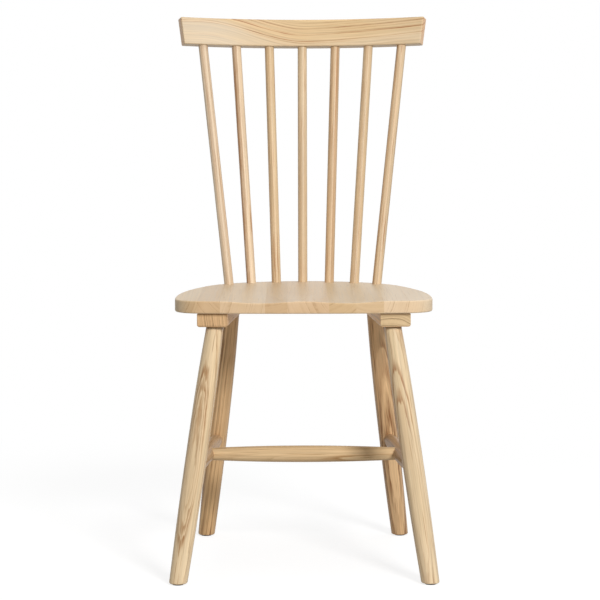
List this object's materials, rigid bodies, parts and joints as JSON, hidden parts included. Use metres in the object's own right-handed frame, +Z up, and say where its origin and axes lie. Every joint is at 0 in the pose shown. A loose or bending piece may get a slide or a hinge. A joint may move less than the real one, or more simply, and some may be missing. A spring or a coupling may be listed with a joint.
{
  "type": "windsor chair",
  "caption": "Spindle-back dining chair with a saddled board seat, splayed turned legs joined by stretchers, and a bent crest rail.",
  "frame": {"origin": "on the floor, at the middle of the chair's overall width and depth", "axes": "+Z up, -Y the way the chair faces, +X to the right of someone facing it"},
  "size_m": [0.4316, 0.5001, 0.9076],
  "materials": {
    "wood": "clear satin lacquer on pale ash",
    "glide": "dark matte plastic",
    "screw": "zinc plated steel"
  },
  "bodies": {
    "root": {"seat_board_1": "wood", "seat_board_2": "wood", "seat_board_3": "wood", "seat_board_4": "wood", "seat_board_5": "wood", "seat_board_6": "wood", "seat_board_7": "wood", "seat_board_8": "wood", "batten_left": "wood", "batten_right": "wood", "front_leg_left": "wood", "front_leg_right": "wood", "rear_leg_left": "wood", "rear_leg_right": "wood", "side_stretcher_left": "wood", "side_stretcher_right": "wood", "cross_stretcher": "wood", "crest_rail": "wood", "spindle_1": "wood", "spindle_2": "wood", "spindle_3": "wood", "spindle_4": "wood", "spindle_5": "wood", "spindle_6": "wood", "spindle_7": "wood", "front_glide_left": "glide", "front_glide_right": "glide", "rear_glide_left": "glide", "rear_glide_right": "glide", "batten_screws": "screw"}
  },
  "joints": []
}
